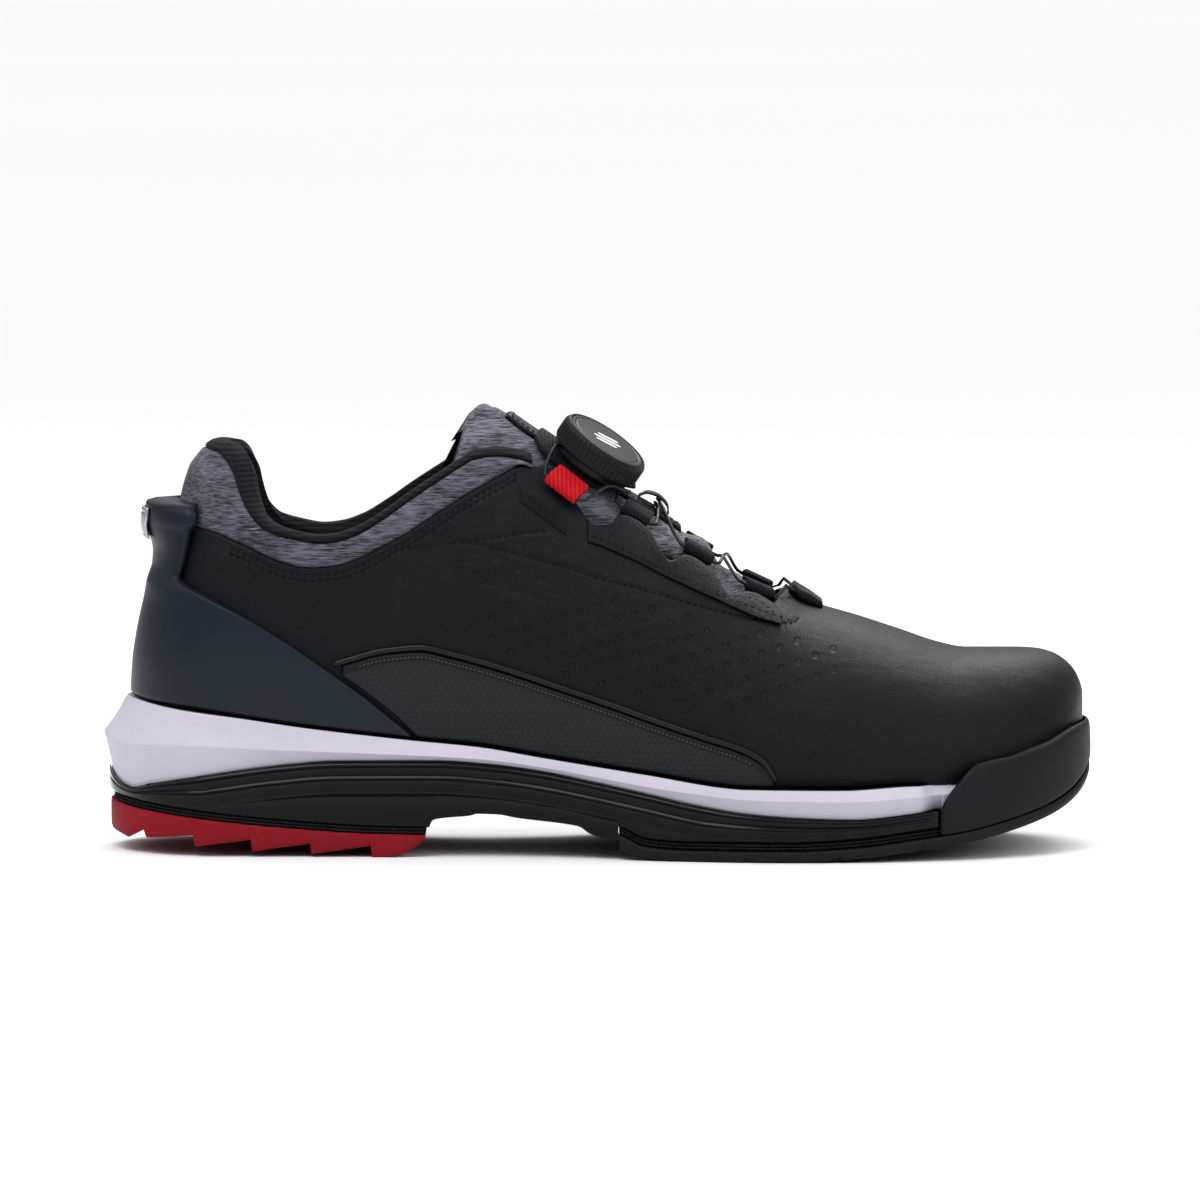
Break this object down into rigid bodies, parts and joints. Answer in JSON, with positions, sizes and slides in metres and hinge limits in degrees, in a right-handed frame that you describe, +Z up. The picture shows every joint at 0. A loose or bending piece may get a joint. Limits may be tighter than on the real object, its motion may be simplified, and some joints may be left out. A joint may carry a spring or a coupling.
{
  "type": "bowling shoe",
  "caption": "Low-cut right bowling shoe with a turn-dial cable lace, padded knit collar, toe bumper, and lift-off toothed heel and sole held by hook-and-loop sheets.",
  "frame": {"origin": "centre of the bounding box in plan, on the floor", "axes": "+X from heel to toe, +Y to the inner (medial) side of the right foot, +Z up"},
  "size_m": [0.2998, 0.1086, 0.1367],
  "materials": {
    "white_foam": "moulded foam, matt, faint lavender",
    "gloss_carrier": "high gloss smoky moulding",
    "fastening_cloth": "hook-and-loop cloth",
    "red_rubber": "knurled rubber",
    "black_rubber": "matt moulded rubber",
    "steel": "satin",
    "board": "pressed fibre board",
    "footbed_cloth": "cloth over foam",
    "black_leather": "fine grain, semi-gloss",
    "lining_cloth": "ribbed lining cloth",
    "knit": "heathered knit",
    "dark_panel": "small hexagon texture",
    "piping": "smooth rolled edge",
    "clip_plastic": "matt moulded",
    "badge_metal": "satin",
    "red_webbing": "ribbed webbing",
    "black_webbing": "ribbed webbing",
    "spool_plastic": "moulded",
    "dial_rubber": "ribbed soft grip",
    "lace_cable": "braided cable with a smooth dark coat"
  },
  "bodies": {
    "upper": {"midsole": "white_foam", "sole_carrier": "gloss_carrier", "heel_hook_sheet": "fastening_cloth", "sole_hook_sheet": "fastening_cloth", "shank_plate": "steel", "lasting_board": "board", "insole": "footbed_cloth", "upper_leather": "black_leather", "lining": "lining_cloth", "heel_stiffener": "board", "toe_puff": "board", "collar_pad": "knit", "side_panel_outer": "dark_panel", "panel_piping_outer": "piping", "side_panel_inner": "dark_panel", "panel_piping_inner": "piping", "heel_clip": "clip_plastic", "heel_badge": "badge_metal", "toe_bumper": "black_rubber", "tongue": "knit", "tongue_strip": "black_leather", "throat_tab": "black_leather", "eyestay_outer": "black_leather", "eyestay_inner": "black_leather", "pull_loop_outer": "red_webbing", "pull_loop_inner": "red_webbing", "dial_base": "gloss_carrier", "dial_screw": "steel", "tongue_bridge": "black_leather", "dial_patch": "black_webbing", "lace": "lace_cable", "lace_guide_top_outer": "black_webbing", "lace_guide_top_inner": "black_webbing", "lace_guide_middle_outer": "black_webbing", "lace_guide_middle_inner": "black_webbing", "lace_guide_low_outer": "black_webbing", "lace_guide_low_inner": "black_webbing"},
    "dial_drive": {"dial_drive": "steel", "dial_spool": "spool_plastic"},
    "dial_knob": {"dial_knob": "dial_rubber", "dial_cap": "gloss_carrier"},
    "heel": {"heel_pad": "red_rubber", "heel_loop_sheet": "fastening_cloth"},
    "sole": {"sole_pad": "black_rubber", "sole_loop_sheet": "fastening_cloth"}
  },
  "joints": [
    {"name": "drive_turn", "type": "hinge", "parent": "upper", "child": "dial_drive", "pos_m": [-0.00302, -0.0074, 0.11519], "axis": [0.5485, -0.2037, 0.811], "continuous": true},
    {"name": "knob_pull", "type": "slide", "parent": "dial_drive", "child": "dial_knob", "axis": [0.5485, -0.2037, 0.811], "range_m": [0, 0.0025]},
    {"name": "heel_peel", "type": "slide", "parent": "upper", "child": "heel", "axis": [0, 0, -1], "range_m": [0, 0.03]},
    {"name": "sole_peel", "type": "slide", "parent": "upper", "child": "sole", "axis": [0, 0, -1], "range_m": [0, 0.03]}
  ]
}
